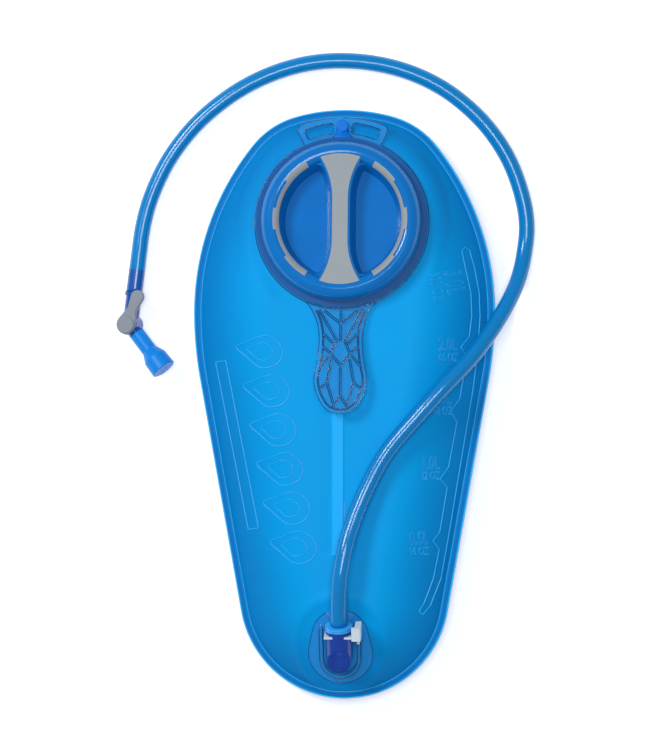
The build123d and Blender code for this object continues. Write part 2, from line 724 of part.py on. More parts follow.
def drink_tube():
    """The hose from the plug's collar to the shut-off valve's shoulder."""
    line = tube_line()
    section = Plane(line @ 0, z_dir=line % 0) * (Circle(TUBE_R) - Circle(TUBE_BORE))
    return sweep(section, path=line)


# ---- the shut-off valve and the bite valve, in the valve's tilted frame ----


def to_mouth(part):
    """A part drawn on the Z axis, laid along the bite valve's axis."""
    return TO_MOUTH_END * along_y(part)


def flow_path():
    """The elbow of the water's way through the valve."""
    stem = along_y(disc(FLOW_BORE, 0, STEM_END + STEM_BARB + 1))
    return stem + to_mouth(disc(FLOW_BORE, 0, SPIGOT_END + 1)) + Sphere(FLOW_BORE)


def shutoff_body():
    """The elbow housing: stem with its barb, barrel housing and spigot for the bite valve."""
    shoulder_r, shoulder = STEM_FLANGE
    body = disc(HOUSING_R, -HOUSING_HALF, HOUSING_HALF)
    body += along_y(disc(STEM_R, 0, STEM_END) + disc(shoulder_r, STEM_END - shoulder, STEM_END))
    body += along_y(barb(STEM_END, STEM_END + STEM_BARB, 4))
    body += to_mouth(disc(SPIGOT_R, 0, SPIGOT_END) + disc(BITE_NECK_R, 0, BITE_START - 0.4))
    body -= disc(BARREL_R + BARREL_GAP, -HOUSING_HALF + HOUSING_FLOOR, HOUSING_HALF + 1)
    return VALVE * (body - flow_path())


def shutoff_barrel():
    """The turning plug with its elbow bore, two seal grooves and square pin."""
    pin = PIN_SIDE / 2
    barrel = disc(BARREL_R, -HOUSING_HALF + HOUSING_FLOOR + 0.2, LEVER_Z[0])
    barrel += Rot(0, 0, LEVER_TURN) * block((-pin, pin), (-pin, pin), (LEVER_Z[0], LEVER_Z[1] - 1.2))
    for z in (-SEAL_Z, SEAL_Z):
        barrel -= ring(BARREL_R - 0.8, BARREL_R + 1, z - SEAL_WIDTH / 2, z + SEAL_WIDTH / 2)
    return VALVE * (barrel - flow_path())


def barrel_o_rings():
    """The barrel's two seals."""
    seals = Part()
    for z in (-SEAL_Z, SEAL_Z):
        seals += ring(BARREL_R - 0.8, BARREL_R, z - SEAL_WIDTH / 2, z + SEAL_WIDTH / 2)
    return VALVE * seals


def shutoff_lever():
    """The lever: a disc on the barrel's pin, and a paddle that lies along the hose when open."""
    low, high = LEVER_Z
    tip_r, reach = LEVER_TIP
    pin = PIN_SIDE / 2
    neck_r, neck_y = LEVER_NECK
    neck = Pos(0, neck_y) * Circle(neck_r)
    paddle = make_hull(neck.edges() + (Pos(0, reach) * Circle(tip_r)).edges())
    face = make_hull(Circle(LEVER_R).edges() + neck.edges()) + paddle
    lever = Pos(0, 0, low) * extrude(face, high - low)
    lever = fillet(lever.edges().group_by(Axis.Z)[-1], 1.0)
    boss = disc(LEVER_R - 0.6, high - 0.5, high + 0.7)
    lever += chamfer(boss.edges().group_by(Axis.Z)[-1], 0.3)
    lever -= block((-pin, pin), (-pin, pin), (low - 1, high - 1.2))
    return VALVE * Rot(0, 0, LEVER_TURN) * lever


def bite_valve():
    """The soft bite valve: neck, flare and a mouth with a slit."""
    outer = Polyline(
        (SPIGOT_R + SPIGOT_GAP, BITE_START), (BITE_NECK_R, BITE_START), (BITE_NECK_R, BITE_FLARE),
        (BITE_R, BITE_SHOULDER), (BITE_R + 0.3, BITE_END - 0.5), (BITE_R - 0.2, BITE_END), (0, BITE_END),
    )
    inner = Polyline(
        (0, BITE_END), (0, BITE_WALL_END), (BITE_R - 2.6, BITE_WALL_END - 1), (BITE_R - 2.6, BITE_SHOULDER),
        (SPIGOT_R + SPIGOT_GAP, SPIGOT_END + 1), (SPIGOT_R + SPIGOT_GAP, BITE_START),
    )
    section = make_face(Plane.XZ * (Curve() + [*outer.edges(), *inner.edges()]))
    valve = revolve(section, Axis.Z, 360)
    width, length = SLIT
    valve -= block((-length / 2, length / 2), (-width / 2, width / 2), (BITE_WALL_END - 2, BITE_END + 1))
    return VALVE * to_mouth(valve)


def main():
    """Writes one STEP for each piece."""
    lid_shell, lid_grip_pad, lid_grip_arcs = lid_parts()
    pieces = {
        "front_film": front_film(),
        "back_film": back_film(),
        "baffle": baffle(),
        "fill_neck": fill_neck(),
        "collar_handle": collar_handle(),
        "tether_anchor": tether_anchor(),
        "tether_strap": tether_strap(),
        "tether_ring": tether_ring(),
        "lid_shell": lid_shell,
        "lid_grip_pad": lid_grip_pad,
        "lid_grip_arcs": lid_grip_arcs,
        "lid_gasket": lid_gasket(),
        "outlet_flange": outlet_flange(),
        "outlet_backing": outlet_backing(),
        "outlet_body": outlet_body(),
        "outlet_cap": outlet_cap(),
        "release_button": release_button(),
        "button_spring": button_spring(),
        "valve_poppet": valve_poppet(),
        "poppet_seal": poppet_seal(),
        "poppet_spring": poppet_spring(),
        "hose_plug": hose_plug(),
        "plug_o_ring": plug_o_ring(),
        "drink_tube": drink_tube(),
        "shutoff_body": shutoff_body(),
        "shutoff_barrel": shutoff_barrel(),
        "barrel_o_rings": barrel_o_rings(),
        "shutoff_lever": shutoff_lever(),
        "bite_valve": bite_valve(),
    }
    os.makedirs("parts", exist_ok=True)
    for name, piece in pieces.items():
        export_step(piece, f"parts/{name}.step")


main()
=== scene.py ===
import math

import bmesh
import bpy
from mathutils import Matrix, Vector, noise


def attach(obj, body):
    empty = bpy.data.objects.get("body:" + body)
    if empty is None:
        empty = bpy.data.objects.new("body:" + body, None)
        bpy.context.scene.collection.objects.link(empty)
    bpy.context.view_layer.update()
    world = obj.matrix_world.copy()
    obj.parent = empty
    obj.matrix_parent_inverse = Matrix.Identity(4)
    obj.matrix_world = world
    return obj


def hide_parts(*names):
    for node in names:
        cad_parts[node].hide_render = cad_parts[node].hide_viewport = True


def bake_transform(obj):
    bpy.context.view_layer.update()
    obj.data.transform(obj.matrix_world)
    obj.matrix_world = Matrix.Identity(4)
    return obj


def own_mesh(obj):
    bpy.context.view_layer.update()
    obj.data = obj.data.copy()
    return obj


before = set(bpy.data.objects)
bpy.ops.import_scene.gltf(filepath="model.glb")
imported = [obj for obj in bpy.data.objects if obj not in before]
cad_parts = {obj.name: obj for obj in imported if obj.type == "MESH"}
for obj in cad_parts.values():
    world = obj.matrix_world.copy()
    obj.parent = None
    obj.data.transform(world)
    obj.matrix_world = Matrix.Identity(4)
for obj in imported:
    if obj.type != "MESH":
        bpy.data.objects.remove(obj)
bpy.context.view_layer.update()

MM = 0.001

# ---- camera: nearly straight down on the bag ----
LOOK_AT = (-0.0131, 0.0201, 0.020)
CAMERA_FAR = 3.0
CAMERA_LEAN = 4.5  # degrees towards +X
SENSOR_WIDTH = 36.0
VIEW_HEIGHT = 0.510  # of the floor that the picture covers
FLOOR_Z = -0.0003  # just clear of the bag's underside
FLOOR_HALF = 4.0
FLOOR_GLOW = 0.35
WORLD_GLOW = 0.3
LAMPS = (  # name, place, size, power
    ("key", (-1.1, 0.9, 1.7), 0.7, 22.0),
    ("top", (0.15, 0.1, 2.4), 1.0, 27.0),
)

# ---- the bag's outline and swell, in millimetres, as the CAD part has them ----
BAG_HALF = 199.8
BOTTOM_ARC = (71.5, 79.9)
SIDE_RUN = 161.0
UPPER_ARCS = ((257.0, 10.1), (181.0, 39.0), (57.0, 35.0))
TOP_TURN = 16.0
SEAM_Z = 20.0
WELD = 5.0
FILM = 0.6
SWELL_REACH = 50.0  # from the weld to where the film lies flat
SWELL_POWER = 1.7
FRONT_RISE = 27.0
LID_Y = 122.7
LID_RISE = 19.5
LID_TILT = 7.0
LID_FLAT = (60.0, 74.0)
PORT_AT = (-1.2, -159.5)
PORT_RISE = 17.5
PORT_TILT = 20.0
PORT_FLAT = (-162.7, 25.8, 29.5)  # middle, half width and half length
PORT_FADE = (1.0, 1.35)
HUB_BACK = 7.0  # from the outlet's middle back to its hub
HOLE_SNAP = 0.9  # film this near a hole is pulled to its edge
END_MARGIN = 0.02
EDGE_SHADE_LEVEL = 0.62  # painted shade: how much darker the blue is painted where the two walls meet at the weld
EDGE_REACH = 46.0
BAFFLE_X = -2.5
BAFFLE_HALF = 5.0
BAFFLE_Y = (-102.0, -2.0)
BAFFLE_SINK = 0.9
MOUTH_HOLE = (0.0, LID_Y, 46.8)  # middle and radius
OUTLET_HOLE = (PORT_AT[0], PORT_AT[1] - HUB_BACK * math.cos(math.radians(PORT_TILT)), 6.8)

# ---- relief on the front wall, in millimetres ----
BEAD_STEP = 0.8
LABEL_NARROW = 0.6
LABEL_LINE = 0.3
OUNCES_SIZE = 0.62  # of the litres beside them
SCALE_MARKS = (  # litres, ounces, place of each, size and turn
    ("3.0L", "100 OZ", (75.4, 82.6), (64.0, 79.6), 16.5, -80.0),
    ("2.0L", "66 OZ", (71.7, 40.5), (71.7, 31.8), 12.3, 0.0),
    ("1.5L", "48 OZ", (67.5, 4.4), (67.8, -4.2), 12.3, 0.0),
    ("1.0L", "32 OZ", (59.6, -39.5), (59.6, -48.0), 12.3, 0.0),
    ("0.5L", "16 OZ", (51.8, -90.5), (51.8, -99.0), 12.3, 0.0),
)
SCALE_CHANNEL = [
    (80.5, 104), (82.5, 106.5), (85.5, 104.5), (89, 92), (92, 76), (92.6, 60), (91, 36), (88, 12), (82, -24),
    (76, -60), (71, -90), (66, -118), (59, -136), (54, -142), (51.5, -139.5), (55, -134), (61, -118),
    (65, -98), (61, -92), (65.5, -86), (70.5, -56), (66, -50), (71.5, -42), (77, -12), (73, -4), (79, 4),
    (84, 32), (80, 39), (85.5, 46), (87.2, 60), (86.5, 76), (83, 92),
]
LINE_WIDE = 0.42
LINE_FINE = 0.34
DROPS = 6
DROP_TOP = (-53.0, 36.0)
DROP_STEP = (23.0, -132.0)  # from the first drop to the last
DROP_TURN = 80.0
LONG_BAR = [(-87, 29), (-79.5, 30), (-57, -83.5), (-64.5, -84.5)]

# ---- the tether's strap, in millimetres outwards from the lid's axis ----
STRAP_FROM, STRAP_TO = 57.6, 69.6
STRAP_FLARE_END, STRAP_FLARE = 62.0, 3.2
STRAP_ROUND_FROM = 66.2
STRAP_HALF = 3.8
STRAP_LOW, STRAP_TOP = 3.25, 4.7
STRAP_ROWS = 14


def rgb(red, green, blue):
    """A colour given in sRGB steps of 255, as the linear values that shaders take."""
    linear = []
    for value in (red, green, blue):
        value /= 255
        linear.append(value / 12.92 if value <= 0.04045 else ((value + 0.055) / 1.055) ** 2.4)
    return (*linear, 1.0)


# ---- materials ----


def link_new(name, data):
    """A new object for a mesh, curve, camera or light, in the scene."""
    thing = bpy.data.objects.new(name, data)
    bpy.context.scene.collection.objects.link(thing)
    return thing


def surface(
    name, colour, rough, mottle=0.06, mottle_scale=25.0, grain=0.0, grain_scale=2500.0, shade="", **sockets,
):
    """A plastic or film: colour that drifts a little, uneven roughness, a fine grain, a painted shade."""
    material = bpy.data.materials.new(name)
    material.use_nodes = True
    nodes, links = material.node_tree.nodes, material.node_tree.links
    shader = nodes["Principled BSDF"]
    place = nodes.new("ShaderNodeTexCoord")
    drift = nodes.new("ShaderNodeTexNoise")
    drift.inputs["Scale"].default_value = mottle_scale
    drift.inputs["Detail"].default_value = 3.0
    links.new(place.outputs["Object"], drift.inputs["Vector"])
    ramp = nodes.new("ShaderNodeValToRGB")
    ramp.color_ramp.elements[0].position = 0.3
    ramp.color_ramp.elements[1].position = 0.7
    ramp.color_ramp.elements[0].color = (*[c * (1 - mottle) for c in colour[:3]], 1)
    ramp.color_ramp.elements[1].color = (*[min(c * (1 + mottle), 1) for c in colour[:3]], 1)
    links.new(drift.outputs["Fac"], ramp.inputs["Fac"])
    if shade:
        paint = nodes.new("ShaderNodeVertexColor")
        paint.layer_name = shade
        mix = nodes.new("ShaderNodeMix")
        mix.data_type = "RGBA"
        mix.blend_type = "MULTIPLY"
        mix.inputs["Factor"].default_value = 1.0
        links.new(ramp.outputs["Color"], mix.inputs["A"])
        links.new(paint.outputs["Color"], mix.inputs["B"])
        links.new(mix.outputs["Result"], shader.inputs["Base Color"])
    else:
        links.new(ramp.outputs["Color"], shader.inputs["Base Color"])
    polish = nodes.new("ShaderNodeMapRange")
    polish.inputs["To Min"].default_value = rough * 0.85
    polish.inputs["To Max"].default_value = min(rough * 1.15, 1)
    links.new(drift.outputs["Fac"], polish.inputs["Value"])
    links.new(polish.outputs["Result"], shader.inputs["Roughness"])
    if grain:
        fine = nodes.new("ShaderNodeTexNoise")
        fine.inputs["Scale"].default_value = grain_scale
        fine.inputs["Detail"].default_value = 2.0
        links.new(place.outputs["Object"], fine.inputs["Vector"])
        bump = nodes.new("ShaderNodeBump")
        bump.inputs["Strength"].default_value = grain
        bump.inputs["Distance"].default_value = 0.0002
        links.new(fine.outputs["Fac"], bump.inputs["Height"])
        links.new(bump.outputs["Normal"], shader.inputs["Normal"])
    for socket, value in sockets.items():
        shader.inputs[socket.replace("_", " ")].default_value = value
    return material


# both film walls multiply their blue by the painted edge shade held in the film mesh's colour layer
FILM_BLUE = surface(
    "film_blue", rgb(0, 152, 222), 0.55, 0.04, 14.0, 0.3, 1800.0, "painted_edge_shade", Specular_IOR_Level=0.07,
)
FILM_BACK = surface(
    "film_back_blue", rgb(0, 140, 212), 0.55, 0.04, 14.0, 0.3, 1800.0, "painted_edge_shade", Specular_IOR_Level=0.1,
)
# painted highlight: a lighter blue for the light line along the weld's outer edge
FILM_LINE_HIGHLIGHT = surface("film_line_painted_highlight", rgb(48, 178, 240), 0.35, 0.04, 20.0, Specular_IOR_Level=0.3)
# a touch lighter than the film: a faint painted highlight on the raised lines of the scale, the motif and the
# weld
FILM_RIB_HIGHLIGHT = surface("film_rib_painted_highlight", rgb(12, 158, 228), 0.3, 0.04, 20.0, Specular_IOR_Level=0.5)
# painted shade: a dark blue for the line in the weld's groove
FILM_FOLD_SHADE = surface("film_fold_painted_shade", rgb(0, 92, 170), 0.4, 0.04, 20.0, Specular_IOR_Level=0.3)
# painted highlight: a lighter blue for the lit raised band of the baffle's weld
FILM_STRIP_HIGHLIGHT = surface(
    "film_strip_painted_highlight", rgb(0, 168, 240), 0.4, 0.04, 20.0, 0.3, 1800.0, Specular_IOR_Level=0.1,
)
INNER_FILM = surface("inner_film_blue", rgb(8, 130, 205), 0.5, 0.05, 20.0)
NECK_BLUE = surface("neck_blue", rgb(14, 120, 215), 0.2, 0.04, 30.0)
CLEAR = surface(
    "clear_plastic", rgb(48, 168, 246), 0.06, 0.02, 30.0, Alpha=0.3, IOR=1.5, Specular_IOR_Level=0.5,
)
# painted shade: dark blue lines standing in for the dark refraction along the clear parts' edges
CLEAR_EDGE_SHADE = surface("clear_edge_painted_shade", rgb(2, 40, 92), 0.1, 0.02, 30.0, Coat_Weight=0.6, Coat_Roughness=0.05)
TETHER_BLUE = surface(
    "tether_blue", rgb(0, 108, 208), 0.4, 0.05, 40.0, 0.1, 1500.0, Specular_IOR_Level=0.15,
)
# painted shade: the tether's ring is a darker blue than its strap and anchor, for the shaded lower side of
# the lid
RING_BLUE_SHADED = surface("ring_blue_painted_shade", rgb(0, 82, 150), 0.35, 0.05, 40.0, 0.1, 1500.0, Specular_IOR_Level=0.15)
LID_BLUE = surface(
    "lid_blue", rgb(0, 108, 186), 0.14, 0.06, 30.0, 0.05, 900.0,
    Specular_IOR_Level=0.2, Coat_Weight=0.3, Coat_Roughness=0.05,
)
GRIP_GREY = surface("grip_grey", rgb(139, 147, 154), 0.55, 0.04, 40.0, 0.5, 3500.0)
SILICONE = surface("pale_silicone", rgb(214, 222, 226), 0.5, 0.04, 50.0, 0.2, 1500.0)
OUTLET_BLUE = surface(
    "outlet_blue", rgb(20, 60, 152), 0.2, 0.08, 60.0,
    Specular_IOR_Level=0.3, Coat_Weight=0.2, Coat_Roughness=0.1,
)
BUTTON_GREY = surface("button_grey", rgb(200, 214, 224), 0.38, 0.03, 60.0, 0.2, 2500.0)
STEEL = surface("spring_steel", rgb(190, 192, 196), 0.25, 0.04, 60.0, Metallic=1.0)
ACETAL = surface("white_acetal", rgb(224, 230, 234), 0.35, 0.03, 60.0)
PLUG_BLUE = surface("plug_blue", rgb(50, 165, 240), 0.2, 0.06, 60.0, Coat_Weight=0.3)
TUBE_BLUE = surface(
    "tube_blue", rgb(0, 140, 214), 0.14, 0.03, 30.0, 0.04, 1200.0,
    Transmission_Weight=0.3, IOR=1.4, Coat_Weight=0.1, Coat_Roughness=0.1,
)
TUBE_DARK = surface(
    "tube_over_barb", rgb(4, 84, 165), 0.2, 0.05, 40.0, Coat_Weight=0.2, Coat_Roughness=0.1,
)
VALVE_BLUE = surface("valve_blue", rgb(2, 78, 160), 0.2, 0.06, 50.0, Coat_Weight=0.3)
LEVER_GREY = surface("lever_grey", rgb(122, 130, 143), 0.4, 0.04, 50.0, 0.25, 2500.0)
BITE_BLUE = surface("bite_blue", rgb(4, 128, 218), 0.36, 0.05, 60.0, 0.15, 1500.0, Specular_IOR_Level=0.25)

NODE_MATERIALS = {
    "baffle": INNER_FILM,
    "fill_neck": NECK_BLUE,
    "collar_handle": CLEAR,
    "tether_anchor": TETHER_BLUE,
    "tether_ring": RING_BLUE_SHADED,
    "lid_shell": LID_BLUE,
    "lid_grip_pad": GRIP_GREY,
    "lid_grip_arcs": GRIP_GREY,
    "lid_gasket": SILICONE,
    "outlet_flange": CLEAR,
    "outlet_backing": NECK_BLUE,
    "outlet_body": OUTLET_BLUE,
    "outlet_cap": OUTLET_BLUE,
    "release_button": BUTTON_GREY,
    "button_spring": STEEL,
    "valve_poppet": ACETAL,
    "poppet_seal": SILICONE,
    "poppet_spring": STEEL,
    "hose_plug": PLUG_BLUE,
    "plug_o_ring": SILICONE,
    "shutoff_body": VALVE_BLUE,
    "shutoff_barrel": ACETAL,
    "barrel_o_rings": SILICONE,
    "shutoff_lever": LEVER_GREY,
    "bite_valve": BITE_BLUE,
}


def dress_nodes():
    """Gives each carried-over CAD node its material."""
    for name, material in NODE_MATERIALS.items():
        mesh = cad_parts[name].data
        mesh.materials.clear()
        mesh.materials.append(material)


# ---- the film's shape ----


def walk(inset):
    """The outline's right half: arcs as centre x, y, radius, from and to, and the straight run."""
    x, y, heading = 0.0, inset - BAG_HALF, 0.0
    arcs = []
    for item in (BOTTOM_ARC, "run", *UPPER_ARCS, "close"):
        a = math.radians(heading)
        if item == "run":
            run = (x, y, heading, SIDE_RUN)
            x += SIDE_RUN * math.cos(a)
            y += SIDE_RUN * math.sin(a)
            continue
        if item == "close":
            radius, turn = x / math.sin(math.radians(TOP_TURN)), TOP_TURN
        else:
            radius, turn = item[0] - inset, item[1]
        b = math.radians(heading + turn)
        centre = x - radius * math.sin(a), y + radius * math.cos(a)
        arcs.append((*centre, radius, heading - 90, heading + turn - 90))
        x += radius * (math.sin(b) - math.sin(a))
        y += radius * (math.cos(a) - math.cos(b))
        heading += turn
    return arcs, run


WELD_ARCS, WELD_RUN = walk(WELD)


def half_width(y, inset):
    """Half the bag's width at a height along it."""
    arcs, run = walk(inset)
    for cx, cy, radius, start, end in arcs:
        low = cy + radius * math.sin(math.radians(start))
        high = cy + radius * math.sin(math.radians(end))
        if low - 1e-9 <= y <= high + 1e-9:
            return cx + math.sqrt(max(radius * radius - (y - cy) ** 2, 0))
    x, y0, heading, _ = run
    return x + (y - y0) / math.tan(math.radians(heading))


def weld_distance(x, y):
    """How far inside the weld a point lies; negative on it."""
    x = abs(x)
    nearest = 2 * SWELL_REACH
    for cx, cy, radius, start, end in WELD_ARCS:
        if start <= math.degrees(math.atan2(y - cy, x - cx)) <= end:
            nearest = min(nearest, radius - math.hypot(x - cx, y - cy))
    x0, y0, heading, length = WELD_RUN
    ux, uy = math.cos(math.radians(heading)), math.sin(math.radians(heading))
    if 0 <= (x - x0) * ux + (y - y0) * uy <= length:
        nearest = min(nearest, (y - y0) * ux - (x - x0) * uy)
    return nearest


def fade(value, full, none):
    """1 up to full, 0 from none on, and smooth between."""
    t = min(max((none - value) / (none - full), 0.0), 1.0)
    return t * t * (3 - 2 * t)


def bell(value, middle, width):
    """1 at the middle, falling off smoothly either side."""
    return math.exp(-(((value - middle) / width) ** 2))


def seam_detail(distance):
    """Relief of the weld: a bead along its outer edge and a fine line where the walls part."""
    edge = 0.28 * bell(distance, 0.8 - WELD, 0.55)
    return edge + 0.22 * bell(distance, -1.1, 0.7) - 0.18 * bell(distance, -2.6, 0.7)


def swell(painted_edge_shade, distance):
    """How far a wall has risen at a distance inside the weld."""
    left = 1 - min(max(distance / SWELL_REACH, 0.0), 1.0)
    return painted_edge_shade * (1 - left**SWELL_POWER)


def slack(x, y, distance):
    """The film's unevenness: long soft waves, and puckers that fade out from the weld."""
    soft = noise.noise(Vector((x / 46, y / 60, 1.7))) * 0.7
    pucker = noise.noise(Vector((x / 9, y / 9, 5.1))) * 0.28 * bell(distance, 5.0, 8.0)
    return (soft + pucker) * min(max(distance / 8.0, 0.0), 1.0)


def front_top(x, y):
    """Height of the front wall's outer face."""
    distance = weld_distance(x, y)
    by_mouth = fade(math.hypot(x, y - LID_Y), *LID_FLAT)
    z = SEAM_Z + FILM + swell(FRONT_RISE, distance)
    z += slack(x, y, distance) * (1 - by_mouth)
    mouth = SEAM_Z + FILM + LID_RISE - (y - LID_Y) * math.tan(math.radians(LID_TILT))
    z += (mouth - z) * by_mouth
    port = SEAM_Z + FILM + PORT_RISE + (y - PORT_AT[1]) * math.tan(math.radians(PORT_TILT))
    reach = math.hypot((x - PORT_AT[0]) / PORT_FLAT[1], (y - PORT_FLAT[0]) / PORT_FLAT[2])
    z += (port - z) * fade(reach, *PORT_FADE)
    along = fade(-y, -BAFFLE_Y[0] - 4, -BAFFLE_Y[0] + 2) * fade(y, BAFFLE_Y[1] - 4, BAFFLE_Y[1])
    z -= BAFFLE_SINK * fade(abs(x - BAFFLE_X), BAFFLE_HALF - 1, BAFFLE_HALF + 9) * along
    return z + (seam_detail(distance) if distance < 1 else 0)


def back_bottom(x, y):
    """Height of the back wall's outer face."""
    distance = weld_distance(x, y)
    z = SEAM_Z - FILM - swell(SEAM_Z - FILM, distance)
    return z - (seam_detail(distance) if distance < 1 else 0)


def spread_rows(count):
    """Heights along the bag, closer together near its rounded ends."""
    rows = []
    for i in range(count + 1):
        t = i / count
        rows.append(BAG_HALF * (0.7 * (2 * t - 1) - 0.3 * math.cos(math.pi * t)))
    return rows


def grid_quads(rows, columns):
    """The faces of a grid of points laid out row by row."""
    quads = []
    for i in range(rows):
        for j in range(columns):
            a = i * (columns + 1) + j
            quads.append((a, a + 1, a + columns + 2, a + columns + 1))
    return quads


def film_mesh(name, height, rows, columns, holes, flip):
    """A wall of film as a grid that follows the outline, with its holes cut round, and a colour layer of
    painted shade that darkens its blue towards the weld.
    """
    verts = []
    for y in spread_rows(rows):
        reach = half_width(min(max(y, END_MARGIN - BAG_HALF), BAG_HALF - END_MARGIN), 0.0)
        for j in range(columns + 1):
            x = reach * (2 * j / columns - 1)
            verts.append(Vector((x, y, 0)))
    gone = set()
    for cx, cy, radius in holes:
        for i, v in enumerate(verts):
            away = math.hypot(v.x - cx, v.y - cy)
            if away < radius:
                gone.add(i)
            elif away < radius + HOLE_SNAP:
                v.x = cx + (v.x - cx) * radius / away
                v.y = cy + (v.y - cy) * radius / away
    for v in verts:
        v.z = height(v.x, v.y)
    faces = [quad for quad in grid_quads(rows, columns) if not gone.intersection(quad)]
    if flip:
        faces = [quad[::-1] for quad in faces]
    mesh = bpy.data.meshes.new(name)
    mesh.from_pydata([v * MM for v in verts], [], faces)
    piece = finish_mesh(name, mesh)
    # painted shade: the blue is darkened towards the weld, where the film slopes away from the light
    paint = mesh.color_attributes.new("painted_edge_shade", "FLOAT_COLOR", "POINT")
    for i, v in enumerate(mesh.vertices):
        distance = weld_distance(v.co.x / MM, v.co.y / MM)
        shade_level = EDGE_SHADE_LEVEL + (1 - EDGE_SHADE_LEVEL) * fade(-distance, -EDGE_REACH, 0)
        paint.data[i].color = (shade_level, shade_level, 1 - 0.7 * (1 - shade_level), 1)
    return piece


def finish_mesh(name, mesh):
    """Cleans a mesh up and links it as an object."""
    work = bmesh.new()
    work.from_mesh(mesh)
    bmesh.ops.remove_doubles(work, verts=work.verts, dist=1e-6)
    loose = [v for v in work.verts if not v.link_faces]
    bmesh.ops.delete(work, geom=loose, context="VERTS")
    work.to_mesh(mesh)
    work.free()
    for polygon in mesh.polygons:
        polygon.use_smooth = True
    return link_new(name, mesh)


def thicken(piece, thickness):
    """Gives an open sheet its thickness, inwards."""
    solid = piece.modifiers.new("thickness", "SOLIDIFY")
    solid.thickness = thickness
    solid.offset = -1


def place_piece(piece, material, body):
    """Material and body of a piece."""
    piece.data.materials.clear()
    piece.data.materials.append(material)
    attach(piece, body)


def film_walls():
    """The bag's two walls."""
    rows, columns = ((520, 270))
    front = film_mesh("front_wall", front_top, rows, columns, [MOUTH_HOLE, OUTLET_HOLE], False)
    thicken(front, FILM * MM)
    place_piece(front, FILM_BLUE, "reservoir")
    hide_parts("front_film")
    back = film_mesh("back_wall", back_bottom, rows // 2, columns // 2, [], True)
    thicken(back, FILM * MM)
    place_piece(back, FILM_BACK, "reservoir")
    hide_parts("back_film")


# ---- relief on the front wall ----


def bead(name, points, radius, material=FILM_RIB_HIGHLIGHT):
    """A raised line on the film: a rounded rib along a closed path given in millimetres."""
    dense = []
    for a, b in zip(points, points[1:] + points[:1]):
        along = b[0] - a[0], b[1] - a[1]
        pieces = max(int(math.hypot(*along) / BEAD_STEP), 1)
        dense += [(a[0] + along[0] * k / pieces, a[1] + along[1] * k / pieces) for k in range(pieces)]
    curve = bpy.data.curves.new(name, "CURVE")
    curve.dimensions = "3D"
    curve.bevel_depth = radius * MM
    curve.bevel_resolution = 3
    line = curve.splines.new("POLY")
    line.points.add(len(dense) - 1)
    for point, (x, y) in zip(line.points, dense):
        point.co = (x * MM, y * MM, front_top(x, y) * MM, 1)
    line.use_cyclic_u = True
    place_piece(link_new(name, curve), material, "reservoir")


def curve_mesh(name, curve):
    """The mesh that a curve makes, from an object that is then removed."""
    holder = link_new(name, curve)
    bpy.context.view_layer.update()
    mesh = bpy.data.meshes.new_from_object(holder)
    bpy.data.objects.remove(holder)
    return mesh


def label(name, text, at, size, turn):
    """Numbers of the volume scale, outlined on the film by raised lines."""
    curve = bpy.data.curves.new(name, "FONT")
    curve.body = text
    curve.size = size
    curve.align_x = "CENTER"
    curve.align_y = "CENTER"
    curve.fill_mode = "NONE"
    curve.bevel_depth = LABEL_LINE
    curve.bevel_resolution = 1
    curve.resolution_u = 5
    mesh = curve_mesh(name + "_curve", curve)
    spin = Matrix.Rotation(math.radians(turn), 3, "Z")
    for vertex in mesh.vertices:
        x, y, z = spin @ Vector((vertex.co.x * LABEL_NARROW, vertex.co.y, vertex.co.z))
        x += at[0]
        y += at[1]
        vertex.co = Vector((x, y, front_top(x, y) + z)) * MM
    place_piece(finish_mesh(name, mesh), FILM_RIB_HIGHLIGHT, "reservoir")


def volume_scale():
    """The numbers and the channel of the volume scale down the right side."""
    for litres, ounces, at, under, size, turn in SCALE_MARKS:
        label("mark_" + litres.replace(".", "_"), litres, at, size, turn)
        label("mark_" + ounces.replace(" ", "_"), ounces, under, size * OUNCES_SIZE, turn)
    bead("scale_channel", SCALE_CHANNEL, LINE_WIDE)


def seam_lines():
    """The weld's lines: a light one on its outer edge, painted lighter as a highlight; a dark one inside,
    painted as shade in the weld's groove; a fine one where the walls part.
    """
    for name, inset, radius, material in (
        ("seam_edge_highlight", 0.55, 0.5, FILM_LINE_HIGHLIGHT),
        ("seam_fold_shade", 2.5, 0.3, FILM_FOLD_SHADE),
        ("seam_root", 4.8, 0.3, FILM_RIB_HIGHLIGHT),
    ):
        bead(name, outline_points(inset), radius, material)


def outline_points(inset):
    """The bag's outline, moved inwards, from its lowest point round its right side and back down its left."""
    right = []
    for cx, cy, radius, start, end in walk(inset)[0]:
        count = max(int(radius * math.radians(end - start) / 4), 4)
        for i in range(count + 1):
            a = math.radians(start + (end - start) * i / count)
            right.append((cx + radius * math.cos(a), cy + radius * math.sin(a)))
    left = [(-x, y) for x, y in reversed(right[1:-1])]
    return right + left


def edge_lines(node, radius):
    """Thin dark lines along a clear part's top edges, where its walls turn down: painted shade in place of
    the dark refraction there.
    """
    work = bmesh.new()
    work.from_mesh(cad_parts[node].data)
    bmesh.ops.remove_doubles(work, verts=work.verts, dist=1e-6)
    curve = bpy.data.curves.new(node + "_shade_lines", "CURVE")
    curve.dimensions = "3D"
    curve.bevel_depth = radius * MM
    curve.bevel_resolution = 1
    for edge in work.edges:
        if len(edge.link_faces) != 2 or edge.calc_length() < 1e-5:
            continue
        rising = [face.normal.z for face in edge.link_faces]
        if max(rising) > 0.9 and abs(min(rising)) < 0.45:
            line = curve.splines.new("POLY")
            line.points.add(1)
            for point, vertex in zip(line.points, edge.verts):
                point.co = (*vertex.co, 1)
    work.free()
    place_piece(link_new(node + "_shade_lines", curve), CLEAR_EDGE_SHADE, "reservoir")


